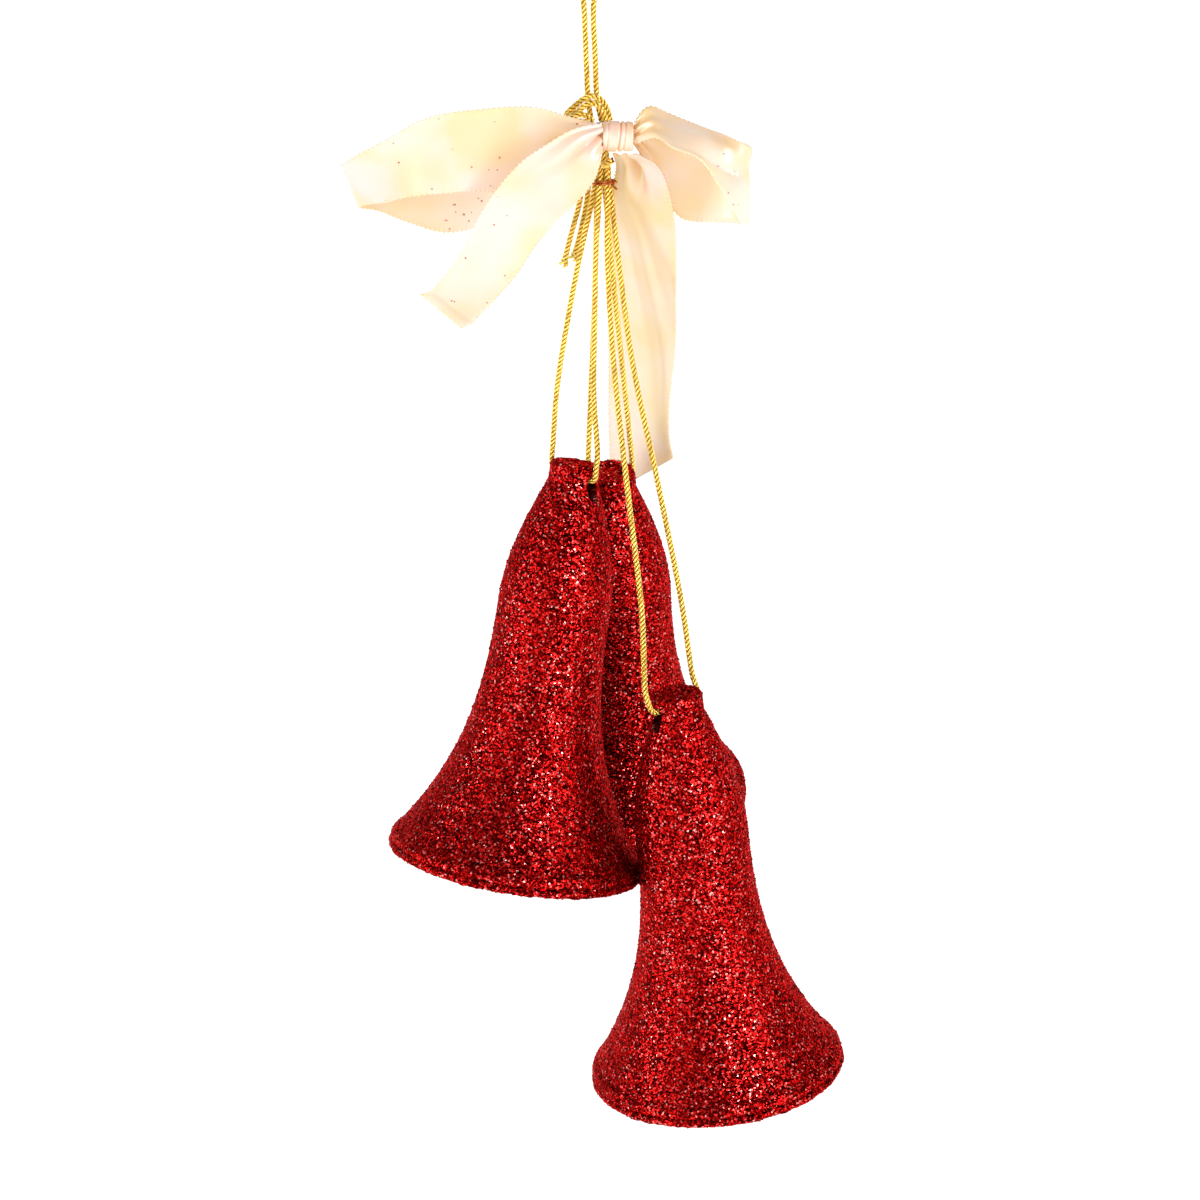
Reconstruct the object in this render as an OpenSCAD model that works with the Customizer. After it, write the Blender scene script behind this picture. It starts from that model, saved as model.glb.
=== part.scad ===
// Christmas bell ornament: three hollow glitter bells, each threaded on its own cord loop,
// gathered under a satin bow and hung from one loop of the same cord.
// Millimetres. +X is to the right, +Y to the back, +Z up. The origin is the top of the hanging loop.

/* [Bell] */
// height of a bell from the top of its neck to the mouth
bell_height = 81.5; // [70:0.5:95]
// outer radius of the lip round the mouth
mouth_radius = 25.5; // [20:0.5:25.5]
// outer radius of the long straight waist
waist_radius = 11.1; // [9.5:0.1:11.1]
// outer radius of the neck
neck_radius = 5; // [4.6:0.1:5.2]
// length of the straight neck, before the shoulder starts
neck_length = 4; // [3:0.5:6]
// how far down the shoulder reaches the waist
shoulder_end = 29; // [24:1:34]
// thickness of the moulded wall
wall = 1.2; // [0.8:0.1:1.5]
// how sharply the flare opens: higher keeps the waist straight for longer
flare_power = 2.6; // [2.2:0.1:3.2]

/* [Neck slots] */
// width of each of the two cord slots
slot_width = 2.6; // [2.2:0.1:3]
// height of each slot
slot_height = 5; // [4:0.2:6]
// from the top of the neck down to the top end of a slot
slot_top = 1.9; // [1.9:0.1:2.6]
// radius of the dish in the closed top of the neck
dish_radius = 2.8; // [2:0.1:3.2]
// thickness of that closed top
crown_thickness = 1.6; // [1.4:0.1:1.8]

/* [Cord] */
// diameter of the twisted cord
cord_diameter = 1.2; // [1:0.1:1.2]
// radius of the ring in which the six strands leave the wire binding
strand_ring = 1.55; // [1.5:0.05:1.6]
// radius of the gathered cords behind the bow
bundle_radius = 1.8; // [1.5:0.1:1.9]
// diameter of the copper binding wire
wire_diameter = 0.4; // [0.3:0.05:0.5]

/* [Ribbon] */
// thickness of the ribbon solids
ribbon_thickness = 0.4; // [0.2:0.1:0.5]
// length of the wrap round the middle of the bow
wrap_length = 5.6; // [5:0.1:5.8]
// height of the wrap
wrap_height = 5.8; // [5:0.1:6]
// depth of the wrap, front to back
wrap_depth = 5.6; // [5:0.1:5.8]

/* [Finish] */
// facets round a bell
facets = 96; // [64:16:128]

/* [Hidden] */
sides = 8;

// each bell: top of its neck, turn about X and then Y, turn of its slot line about its own axis
bells = [
    [[-2.4, -3.5, -95.9], [-9.6, 8.9], -44],
    [[4.2, 8, -101.4], [13.5, -2.8], 37],
    [[17, -22.4, -136.8], [-2, -6.4], 34]
];

// where the six strands leave the binding, as angles round it: [+ side of the slot line, - side]
binding = [2.6, 0, -42];
strand_start = -1;
strand_angles = [[250, 190], [70, 130], [10, 310]];

// round points that each strand passes between the binding and its bell, + side then - side
strand_routes = [
    [
        [[1.4, -3, -55], [1.2, -3.6, -66], [1, -4.8, -82]],
        [[-1.6, -1.6, -55], [-3.7, -1.4, -66], [-6.2, -0.6, -82]]
    ],
    [
        [[4.2, 3, -55], [5.2, 4.6, -66], [7, 8, -84]],
        [[1.4, 3, -55], [1.1, 3.8, -66], [0.4, 5, -84]]
    ],
    [
        [[5.6, -2, -55], [8.4, -6, -75], [13.4, -11, -98], [18.2, -14, -122]],
        [[3.6, -2.8, -55], [4.8, -6.4, -75], [7.4, -12.5, -98], [10.3, -19, -122]]
    ]
];

// how far the strands lean sideways round the necks, and how far they stand off them: + side, - side
strand_lean = [[-0.6, 1.4], [0.4, 0.4], [2, 0.4]];
strand_stand_off = [[0, 0], [0, 0], [0, 1.6]];
// the cord round a neck: [distance from the bell's axis, share of the lean and stand-off, height]
cord_level = slot_top + cord_diameter / 2 + 0.4;
cord_out = neck_radius + cord_diameter / 2 + 0.15;
neck_turn = [
    [cord_out, 1, 2.2],
    [cord_out, 0.85, 0.4],
    [cord_out, 0.6, -1.1],
    [cord_out - 0.15, 0.35, 0.7 - cord_level],
    [cord_out - 0.7, 0.2, 0.1 - cord_level],
    [cord_out - 1.55, 0.12, -cord_level]
];

hanging_route = [
    [2.6, 0, -29.9], [1.7, 0, -26], [1.3, 0, -18], [1, 0, -8], [1.5, 0, -4], [1.6, 0, -2.2],
    [1.1, 0, -0.7], [0, 0, 0], [-1.1, 0, -0.7], [-1.5, 0, -2.2], [-1.3, 0, -4],
    [-0.8, 0, -8], [-0.4, 0, -18], [0, 0, -26], [0.6, 0, -29.9]
];
knot_route = [
    [4.1, -1.6, -29.2], [3.5, -2.1, -26.9], [2.4, -2.5, -25.2], [0.6, -2.6, -24.4],
    [-1.2, -2.5, -25.2], [-2.7, -2.4, -26.5], [-3.9, -2.6, -27.6], [-4.2, -3.6, -28.3],
    [-3.2, -4.4, -28.2], [-1.6, -4.5, -27.5], [-0.2, -4.3, -28], [0.9, -3.9, -29]
];
bundle_route = [[1.6, 0, -30.2], [2.2, 0, -36], [2.6, 0, -39], [2.6, 0, -42]];
tie_route = [[2.9, -4, -36.8], [3, -6, -36.9], [3.6, -7.6, -36.2], [4.6, -8.2, -35.4]];
long_tail_route = [[-0.9, 1.2, -40.5], [-1.8, 2, -46], [-3.6, 2.8, -53], [-4.9, 3.2, -58.4]];
short_tail_route = [[0.2, 2.9, -40.5], [-0.4, 3.6, -46], [-1.8, 4.5, -53], [-3, 4.9, -57.6]];
wire_end_1 = [[4.3, -1.2, -40.5], [5.4, -2.2, -41]];
wire_end_2 = [[4.3, -1.2, -41.6], [5.4, -2.2, -42.3]];

// ribbons: pairs of points across the ribbon, along its length
wrap_centre = [5.6, -5.9, -31.4];
left_loop_route = [
    [[2.6, -6.4, -29.4], [2.6, -6.4, -33.8]],
    [[-3.2, -8, -27.7], [-5.3, -8, -36.6]],
    [[-11, -9, -25.7], [-13, -9, -41.1]],
    [[-20, -10, -25.7], [-20, -10, -41.2]],
    [[-29.4, -9.5, -27.1], [-29.6, -9.5, -41.4]],
    [[-37, -8.5, -30.5], [-37, -4, -43.5]],
    [[-44.2, -7, -34.9], [-42.8, 0, -45.6]],
    [[-46.3, -5, -37], [-44, 3, -46.9]],
    [[-43.4, -0.5, -37.2], [-40.8, 5.5, -48]],
    [[-36, 4, -37.2], [-35, 7, -50.6]],
    [[-28.9, 6.5, -37.6], [-28, 7.5, -52.6]],
    [[-21, 6.5, -35.6], [-20, 6.5, -50.8]],
    [[-10, 2, -31.4], [-10, 2, -43.6]],
    [[-3, -3.4, -29.8], [-3, -3.4, -35.4]],
    [[2.4, -4.4, -29.6], [2.4, -4.4, -33.6]]
];
right_loop_route = [
    [[8.6, -6, -28.9], [8.6, -7, -32.4]],
    [[11.4, -4, -26.4], [12.4, -11, -30.5]],
    [[15.2, -2.5, -27.9], [15.5, -14.6, -31.4]],
    [[21.1, -2, -30.3], [20.7, -15, -33.6]],
    [[25.2, -3, -31.7], [25, -11.5, -40.3]],
    [[29.1, -4, -33.3], [29.2, -6, -47.9]],
    [[30.8, -1.5, -34.8], [30.7, -2, -48.9]],
    [[29.8, 2, -34.6], [29.6, 1.5, -49.6]],
    [[26.6, 4.5, -34], [26.6, 4.5, -50]],
    [[21.4, 5.5, -33.1], [21.4, 6, -50.1]],
    [[17.6, 5, -32.4], [17.6, 5.6, -49.2]],
    [[14, 2.5, -31.4], [14, 4, -44]],
    [[11, -1, -30.2], [11, 0, -38]],
    [[8.6, -4.2, -29.8], [8.8, -3.8, -33.6]]
];
left_tail_route = [
    [[2.6, -8.2, -28.6], [2.6, -8.2, -33]],
    [[-2.6, -11, -29.1], [2, -10, -36]],
    [[-7.4, -12.6, -31.6], [0.8, -9, -39.4]],
    [[-11.9, -13.4, -34.8], [-2.3, -8, -43.5]],
    [[-16.1, -13.6, -39.7], [-5.8, -6.4, -47.6]],
    [[-19.9, -13.4, -44.9], [-9.7, -5.6, -52.7]],
    [[-23.2, -13, -51], [-13.8, -5.2, -58.4]],
    [[-27, -13.2, -56.5], [-19, -4.6, -64.1]],
    [[-30.9, -13.6, -60.7], [-24, -4.4, -69.6]]
];
right_tail_route = [
    [[4.8, -5, -35], [9.4, -6, -34.8]],
    [[5.4, 1.5, -38.6], [13.2, -4, -37.6]],
    [[4.6, 4.6, -44], [15.3, -1.5, -43]],
    [[4.4, 7.6, -49.4], [16.2, 0.6, -49.2]],
    [[4.4, 13, -59.7], [17.1, 5, -59]],
    [[4.4, 17.2, -70], [17.2, 8.6, -67.9]],
    [[3.9, 20.6, -80.5], [16.8, 11.6, -78]],
    [[3.8, 23.4, -91], [16.2, 14, -86.9]],
    [[4.4, 25.4, -101.3], [16.3, 16, -95.5]],
    [[4.9, 27, -112], [17, 17.4, -101.8]]
];

satin = [0.98, 0.91, 0.76];
gold = [0.86, 0.66, 0.2];
copper = [0.72, 0.36, 0.16];
red = [0.62, 0.03, 0.07];

// --- the bell's profile, from the depth below the top of the neck ---

flare_end = bell_height - 4.5;
flare_radius = mouth_radius - 1.6;

function shoulder(depth) =
    neck_radius + (waist_radius - neck_radius)
        * sin(90 * (depth - neck_length) / (shoulder_end - neck_length));
function flare(depth) =
    waist_radius + (flare_radius - waist_radius)
        * pow((depth - shoulder_end) / (flare_end - shoulder_end), flare_power);
function outer(depth) =
    depth < neck_length ? neck_radius : depth < shoulder_end ? shoulder(depth) : flare(depth);
function slope(depth) = outer(depth + 0.5) - outer(depth - 0.5);
function inner(depth) = outer(depth) - wall * sqrt(1 + pow(slope(depth), 2));

depths = [
    for (d = [neck_length : 2.5 : shoulder_end - 1]) d,
    for (d = [shoulder_end : 4 : flare_end - 4]) d,
    flare_end
];
crown_outline = [
    [0, -0.7], [dish_radius - 0.4, -0.6], [dish_radius + 0.3, 0], [neck_radius - 0.8, 0],
    [neck_radius - 0.25, -0.35], [neck_radius, -1]
];
lip_outline = [
    [mouth_radius - 0.7, 0.8 - flare_end - 1.6], [mouth_radius - 0.2, 2.7 - bell_height],
    [mouth_radius - 0.2, 2 - bell_height], [mouth_radius - 0.6, 1.7 - bell_height],
    [mouth_radius - 0.15, 1.4 - bell_height], [mouth_radius, 0.9 - bell_height],
    [mouth_radius - 0.15, 0.3 - bell_height], [mouth_radius - 0.7, -bell_height],
    [mouth_radius - 1.7, -bell_height], [mouth_radius - 2, 0.6 - bell_height]
];

// --- placing ---

function turn_x(p, a) = [p[0], p[1] * cos(a) - p[2] * sin(a), p[1] * sin(a) + p[2] * cos(a)];
function turn_y(p, a) = [p[0] * cos(a) + p[2] * sin(a), p[1], p[2] * cos(a) - p[0] * sin(a)];
function turn_z(p, a) = [p[0] * cos(a) - p[1] * sin(a), p[0] * sin(a) + p[1] * cos(a), p[2]];
function on_bell(bell, p) =
    bell[0] + turn_y(turn_x(turn_z(p, bell[2]), bell[1][0]), bell[1][1]);
function at_binding(angle) =
    binding + [strand_ring * cos(angle), strand_ring * sin(angle), strand_start];

function round_neck(n, side, p) =
    let (
        sign = side == 0 ? 1 : -1,
        lean = strand_lean[n][side] * p[1],
        out = sqrt(p[0] * p[0] - lean * lean) + strand_stand_off[n][side] * p[1]
    )
        [sign * out, sign * lean, p[2]];
function strand(n, side) = concat(
    [at_binding(strand_angles[n][side])],
    strand_routes[n][side],
    [for (p = neck_turn) on_bell(bells[n], round_neck(n, side, p))]
);
function backwards(list) = [for (i = [len(list) - 1 : -1 : 0]) list[i]];
function bell_cord_route(n) = concat(strand(n, 0), backwards(strand(n, 1)));

// --- solids swept along a route ---

function unit(v) = v / norm(v);
function along(route, i) =
    unit(route[min(i + 1, len(route) - 1)] - route[max(i - 1, 0)]);
function level(side, direction) = unit(side - direction * (side * direction));
function any_side(direction) =
    level(abs(direction[1]) < 0.9 ? [0, 1, 0] : [1, 0, 0], direction);
// the sideways direction at each point, carried along the route without a twist
function side_directions(route, i = 0, found = []) =
    i == len(route) ? found
        : side_directions(route, i + 1, concat(found, [
            i == 0 ? any_side(along(route, 0)) : level(found[i - 1], along(route, i))
        ]));

module tube(route, radius, count = sides) {
    across = side_directions(route);
    last = (len(route) - 1) * count;
    points = [
        for (i = [0 : len(route) - 1])
            for (k = [0 : count - 1])
                route[i] + radius * (cos(360 * k / count) * across[i]
                    + sin(360 * k / count) * cross(along(route, i), across[i]))
    ];
    walls = [
        for (i = [0 : len(route) - 2])
            for (k = [0 : count - 1])
                let (a = i * count, j = (k + 1) % count)
                    [a + k, a + count + k, a + count + j, a + j]
    ];
    ends = [
        [for (k = [0 : count - 1]) k],
        [for (k = [count - 1 : -1 : 0]) last + k]
    ];
    polyhedron(points = points, faces = concat(walls, ends), convexity = 6);
}

function middle(pair) = (pair[0] + pair[1]) / 2;
function face_direction(route, i) = unit(cross(
    route[i][1] - route[i][0],
    middle(route[min(i + 1, len(route) - 1)]) - middle(route[max(i - 1, 0)])
));

module ribbon(route) {
    last = 4 * (len(route) - 1);
    points = [
        for (i = [0 : len(route) - 1])
            let (out = face_direction(route, i) * ribbon_thickness / 2)
                each [route[i][0] + out, route[i][1] + out, route[i][1] - out, route[i][0] - out]
    ];
    // both faces of the ribbon are split along the same diagonal, so that they stay parallel
    walls = [
        for (i = [0 : len(route) - 2])
            for (k = [0 : 3])
                let (a = 4 * i, j = (k + 1) % 4)
                    each k < 2
                        ? [[a + k, a + 4 + k, a + j], [a + j, a + 4 + k, a + 4 + j]]
                        : [[a + k, a + 4 + k, a + 4 + j], [a + k, a + 4 + j, a + j]]
    ];
    ends = [[0, 1, 2, 3], [last + 3, last + 2, last + 1, last]];
    polyhedron(points = points, faces = concat(walls, ends), convexity = 8);
}

// --- the pieces ---

module hanging_loop() {
    color(gold) tube(hanging_route, cord_diameter / 2);
}

module hanger_knot() {
    color(gold) tube(knot_route, cord_diameter / 2);
}

module cord_bundle() {
    color(gold) tube(bundle_route, bundle_radius, 12);
}

module binding_wire() {
    color(copper) {
        translate(binding + [0, 0, 0.2])
            difference() {
                cylinder(r = bundle_radius + 0.1 + wire_diameter, h = 3 * wire_diameter + 0.4,
                    $fn = 48);
                translate([0, 0, -1])
                    cylinder(r = bundle_radius + 0.1, h = 4 + 3 * wire_diameter, $fn = 48);
            }
        tube(wire_end_1, wire_diameter / 2);
        tube(wire_end_2, wire_diameter / 2);
    }
}

module tie_cord() {
    color(gold) tube(tie_route, cord_diameter / 2);
}

module cut_tail_long() {
    color(gold) tube(long_tail_route, cord_diameter / 2);
}

module cut_tail_short() {
    color(gold) tube(short_tail_route, cord_diameter / 2);
}

module bow_wrap() {
    color(satin)
        translate(wrap_centre)
            rotate([0, 90, 0])
                scale([wrap_height / 2, wrap_depth / 2, 1])
                    cylinder(r = 1, h = wrap_length, center = true, $fn = 48);
}

module bow_left_loop() {
    color(satin) ribbon(left_loop_route);
}

module bow_right_loop() {
    color(satin) ribbon(right_loop_route);
}

module bow_left_tail() {
    color(satin) ribbon(left_tail_route);
}

module bow_right_tail() {
    color(satin) ribbon(right_tail_route);
}

module bell_cord(n) {
    color(gold) tube(bell_cord_route(n), cord_diameter / 2);
}

module slot_cut() {
    for (depth = [slot_top + slot_width / 2, slot_top + slot_height - slot_width / 2])
        translate([0, 0, -depth])
            rotate([0, 90, 0])
                cylinder(d = slot_width, h = 4 * neck_radius, center = true, $fn = 32);
    translate([0, 0, -slot_top - slot_height / 2])
        cube([4 * neck_radius, slot_width, slot_height - slot_width], center = true);
}

module shell() {
    difference() {
        rotate_extrude($fn = facets)
            polygon(concat(
                crown_outline,
                [for (d = depths) [outer(d), -d]],
                lip_outline,
                [for (d = backwards(depths)) [inner(d), -d]],
                [[inner(neck_length), -crown_thickness], [0, -crown_thickness]]
            ));
        slot_cut();
    }
}

module bell(n) {
    color(red)
        translate(bells[n][0])
            rotate([bells[n][1][0], bells[n][1][1], 0])
                rotate([0, 0, bells[n][2]])
                    shell();
}

hanging_loop();
hanger_knot();
cord_bundle();
binding_wire();
tie_cord();
cut_tail_long();
cut_tail_short();
bow_wrap();
bow_left_loop();
bow_right_loop();
bow_left_tail();
bow_right_tail();
bell_cord(0);  // bell_1_cord
bell_cord(1);  // bell_2_cord
bell_cord(2);  // bell_3_cord
bell(0);  // bell_1
bell(1);  // bell_2
bell(2);  // bell_3
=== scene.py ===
"""Christmas bell ornament: three hollow bells coated in red glitter, hung on twisted gold cord
from a wire binding, with a cream satin bow tied in front of the gathered cords.

Sizes below are in millimetres; MM turns them into metres as the meshes are made.
+X is to the right, +Y to the back, +Z up. The origin is the top of the hanging loop.
"""

import itertools
import math

import bpy
import numpy as np
from mathutils import Matrix, Vector


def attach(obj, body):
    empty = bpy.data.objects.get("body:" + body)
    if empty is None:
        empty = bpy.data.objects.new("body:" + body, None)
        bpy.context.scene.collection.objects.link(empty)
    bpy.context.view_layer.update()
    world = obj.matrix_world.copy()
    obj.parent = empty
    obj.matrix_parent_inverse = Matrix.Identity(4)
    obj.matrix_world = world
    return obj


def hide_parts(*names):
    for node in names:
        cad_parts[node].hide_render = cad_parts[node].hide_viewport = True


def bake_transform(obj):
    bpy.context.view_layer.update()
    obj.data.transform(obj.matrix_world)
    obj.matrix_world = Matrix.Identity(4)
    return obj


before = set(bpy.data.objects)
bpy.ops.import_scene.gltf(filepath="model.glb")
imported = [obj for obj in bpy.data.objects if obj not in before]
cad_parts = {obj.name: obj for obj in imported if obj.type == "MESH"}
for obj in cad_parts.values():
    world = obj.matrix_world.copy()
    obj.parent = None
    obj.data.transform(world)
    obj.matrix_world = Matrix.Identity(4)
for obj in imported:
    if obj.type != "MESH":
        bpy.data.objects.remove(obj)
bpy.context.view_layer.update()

MM = 0.001

# ----------------------------------------------------------------------------- driving values

# camera and lights
AIM = (2.2, 0, -126)
CAMERA_DISTANCE = 600
CAMERA_ELEVATION = 20
CAMERA_LENS = 90
CAMERA_SENSOR = 36
LIGHT_DISTANCE = 1300
# how bright the sky is near the horizon and overhead: (sine of the elevation, brightness)
SKY = [(0.1, 0.9), (0.55, 0.4)]
FLOOR_BELOW = -1500
FLOOR_SIZE = 60000

# bell
BELL_HEIGHT = 81.5
MOUTH_RADIUS = 25.5
WAIST_RADIUS = 11.1
NECK_RADIUS = 5
NECK_LENGTH = 4
SHOULDER_END = 29
WALL = 1.2
FLARE_POWER = 2.6
SLOT_WIDTH = 2.6
SLOT_HEIGHT = 5
SLOT_TOP = 1.9
DISH_RADIUS = 2.8
CROWN_THICKNESS = 1.6

# glitter: the flakes in the coat, the lumps they make, and the loose flakes on top
GRAIN = 0.3
GRAIN_TILT = 0.55
LUMP = 0.42
LUMP_HEIGHT = 0.13
UNEVEN_HEIGHT = 0.06
LIP_HEAP = 0.35
LIP_HEAP_REACH = 4
FLAKES = 6000
FLAKE_RADII = (0.14, 0.27)
FLAKE_THICKNESS = 0.06
FLAKE_LEAN = 0.8
SHED_RADII = (0.1, 0.2)
SHED_GAP = 0.04

# fineness of the bell meshes: columns round a bell, and distance between rows on its coat
ROUND_BELL = 288
DOWN_BELL = 0.36

# cord
CORD_DIAMETER = 1.2
STRANDS = 3
STRAND_RADIUS = 0.28
STRAND_OFFSET = 0.32
STRAND_SIDES = 8
TWIST_PITCH = 2.7
CORD_STEP = 0.2
CUT_END_SPREAD = 0.5
CUT_END_REACH = 3

# copper wire: its turns rise from just above the binding point
WIRE_RADIUS = 0.2
WIRE_TURNS = 2
WIRE_RISE = 0.42
WIRE_START = 0.35
WIRE_START_ANGLE = -35
WIRE_STEP = 0.12

# ribbon: its woven edge has ribs, which end in small loops of thread
RIBBON_WIDTH = 16
RIBBON_THICKNESS = 0.2
SELVEDGE = 1.0
RIB_HEIGHT = 0.05
PICOT_PITCH = 0.9
PICOT_REACH = 0.3

# ----------------------------------------------------------------------------- places

# each bell: top of its neck, turn about X and then Y, turn of its slot line about its own axis
BELLS = [
    ((-2.4, -3.5, -95.9), (-9.6, 8.9), -44),
    ((4.2, 8, -101.4), (13.5, -2.8), 37),
    ((17, -22.4, -136.8), (-2, -6.4), 34),
]
# the wire binding, the ring of cords that ends above it and the ring of strands that starts below
BINDING = (2.6, 0, -42)
BUNDLE_RING = 1.2
BUNDLE_END = 1.2
STRAND_RING = 1.55
STRAND_START = -1
# the two strands of each bell: their places on the rings, and their ways down to the neck
STRAND_ANGLES = [(250, 190), (70, 130), (10, 310)]
STRAND_ROUTES = [
    (
        [(1.4, -3, -55), (1.2, -3.6, -66), (1, -4.8, -82)],
        [(-1.6, -1.6, -55), (-3.7, -1.4, -66), (-6.2, -0.6, -82)],
    ),
    (
        [(4.2, 3, -55), (5.2, 4.6, -66), (7, 8, -84)],
        [(1.4, 3, -55), (1.1, 3.8, -66), (0.4, 5, -84)],
    ),
    (
        [(5.6, -2, -55), (8.4, -6, -75), (13.4, -11, -98), (18.2, -14, -122)],
        [(3.6, -2.8, -55), (4.8, -6.4, -75), (7.4, -12.5, -98), (10.3, -19, -122)],
    ),
]
# how far the strands lean sideways round the necks, and how far they stand off them: + side, - side
STRAND_LEAN = [(-0.6, 1.4), (0.4, 0.4), (2, 0.4)]
STRAND_STAND_OFF = [(0, 0), (0, 0), (0, 1.6)]
# the cord round a neck: (distance from the bell's axis, share of the lean and stand-off, height)
CORD_LEVEL = SLOT_TOP + CORD_DIAMETER / 2 + 0.4
CORD_OUT = NECK_RADIUS + CORD_DIAMETER / 2 + 0.15
NECK_TURN = [
    (CORD_OUT, 1, 2.2),
    (CORD_OUT, 0.85, 0.4),
    (CORD_OUT, 0.6, -1.1),
    (CORD_OUT - 0.15, 0.35, 0.7 - CORD_LEVEL),
    (CORD_OUT - 0.7, 0.2, 0.1 - CORD_LEVEL),
    (CORD_OUT - 1.55, 0.12, -CORD_LEVEL),
]

HANGING_ROUTE = [
    (2.6, 0, -29.9), (1.7, 0, -26), (1.3, 0, -18), (1, 0, -8), (1.5, 0, -4), (1.6, 0, -2.2),
    (1.1, 0, -0.7), (0, 0, 0), (-1.1, 0, -0.7), (-1.5, 0, -2.2), (-1.3, 0, -4),
    (-0.8, 0, -8), (-0.4, 0, -18), (0, 0, -26), (0.6, 0, -29.9),
]
KNOT_ROUTE = [
    (4.1, -1.6, -29.2), (3.5, -2.1, -26.9), (2.4, -2.5, -25.2), (0.6, -2.6, -24.4),
    (-1.2, -2.5, -25.2), (-2.7, -2.4, -26.5), (-3.9, -2.6, -27.6), (-4.2, -3.6, -28.3),
    (-3.2, -4.4, -28.2), (-1.6, -4.5, -27.5), (-0.2, -4.3, -28), (0.9, -3.9, -29),
]
# the second run of the doubled cord, inside the first
INNER_KNOT_ROUTE = [
    (3.4, -3, -29.2), (2.7, -3.2, -27.3), (1.8, -3.4, -26.1), (0.5, -3.5, -25.6),
    (-0.8, -3.4, -26.2), (-1.8, -3.3, -27.1), (-2.8, -3.6, -27.8), (-2.9, -4.6, -28.6),
    (-1.8, -5.2, -28.7), (-0.6, -5.2, -28.8), (0.4, -4.8, -29.6),
]
BUNDLE_ROUTE = [(1.6, 0, -30.2), (2.2, 0, -36), (2.6, 0, -39), (2.6, 0, -42)]
TIE_ROUTE = [(2.9, -4, -36.8), (3, -6, -36.9), (3.6, -7.6, -36.2), (4.6, -8.2, -35.4)]
LONG_TAIL_ROUTE = [(-0.9, 1.2, -40.5), (-1.8, 2, -46), (-3.6, 2.8, -53), (-4.9, 3.2, -58.4)]
SHORT_TAIL_ROUTE = [(0.2, 2.9, -40.5), (-0.4, 3.6, -46), (-1.8, 4.5, -53), (-3, 4.9, -57.6)]

# the two ends of the wire that stick out of its turns
WIRE_FIRST_END = [(5.4, -2.2, -42.3), (4.9, -1.8, -41.9)]
WIRE_LAST_END = [(4.9, -1.8, -40.6), (5.4, -2.2, -41)]

WRAP_CENTRE = (5.6, -5.9, -31.4)
WRAP_LENGTH = 5.6
WRAP_HEIGHT = 5.8
WRAP_DEPTH = 5.6
# creases round the wrap: share across it, depth, slant
WRAP_CREASES = [(0.14, 0.5, 1), (0.52, 0.9, 1.6), (0.7, 0.6, 1.2)]

# ribbons: pairs of points across the ribbon, along its length
LEFT_LOOP = [
    ((2.6, -6.4, -29.4), (2.6, -6.4, -33.8)),
    ((-3.2, -8, -27.7), (-5.3, -8, -36.6)),
    ((-11, -9, -25.7), (-13, -9, -41.1)),
    ((-20, -10, -25.7), (-20, -10, -41.2)),
    ((-29.4, -9.5, -27.1), (-29.6, -9.5, -41.4)),
    ((-37, -8.5, -30.5), (-37, -4, -43.5)),
    ((-44.2, -7, -34.9), (-42.8, 0, -45.6)),
    ((-46.3, -5, -37), (-44, 3, -46.9)),
    ((-43.4, -0.5, -37.2), (-40.8, 5.5, -48)),
    ((-36, 4, -37.2), (-35, 7, -50.6)),
    ((-28.9, 6.5, -37.6), (-28, 7.5, -52.6)),
    ((-21, 6.5, -35.6), (-20, 6.5, -50.8)),
    ((-10, 2, -31.4), (-10, 2, -43.6)),
    ((-3, -3.4, -29.8), (-3, -3.4, -35.4)),
    ((2.4, -4.4, -29.6), (2.4, -4.4, -33.6)),
]
RIGHT_LOOP = [
    ((8.6, -6, -28.9), (8.6, -7, -32.4)),
    ((11.4, -4, -26.4), (12.4, -11, -30.5)),
    ((15.2, -2.5, -27.9), (15.5, -14.6, -31.4)),
    ((21.1, -2, -30.3), (20.7, -15, -33.6)),
    ((25.2, -3, -31.7), (25, -11.5, -40.3)),
    ((29.1, -4, -33.3), (29.2, -6, -47.9)),
    ((30.8, -1.5, -34.8), (30.7, -2, -48.9)),
    ((29.8, 2, -34.6), (29.6, 1.5, -49.6)),
    ((26.6, 4.5, -34), (26.6, 4.5, -50)),
    ((21.4, 5.5, -33.1), (21.4, 6, -50.1)),
    ((17.6, 5, -32.4), (17.6, 5.6, -49.2)),
    ((14, 2.5, -31.4), (14, 4, -44)),
    ((11, -1, -30.2), (11, 0, -38)),
    ((8.6, -4.2, -29.8), (8.8, -3.8, -33.6)),
]
LEFT_TAIL = [
    ((2.6, -8.2, -28.6), (2.6, -8.2, -33)),
    ((-2.6, -11, -29.1), (2, -10, -36)),
    ((-7.4, -12.6, -31.6), (0.8, -9, -39.4)),
    ((-11.9, -13.4, -34.8), (-2.3, -8, -43.5)),
    ((-16.1, -13.6, -39.7), (-5.8, -6.4, -47.6)),
    ((-19.9, -13.4, -44.9), (-9.7, -5.6, -52.7)),
    ((-23.2, -13, -51), (-13.8, -5.2, -58.4)),
    ((-27, -13.2, -56.5), (-19, -4.6, -64.1)),
    ((-30.9, -13.6, -60.7), (-24, -4.4, -69.6)),
]
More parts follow.
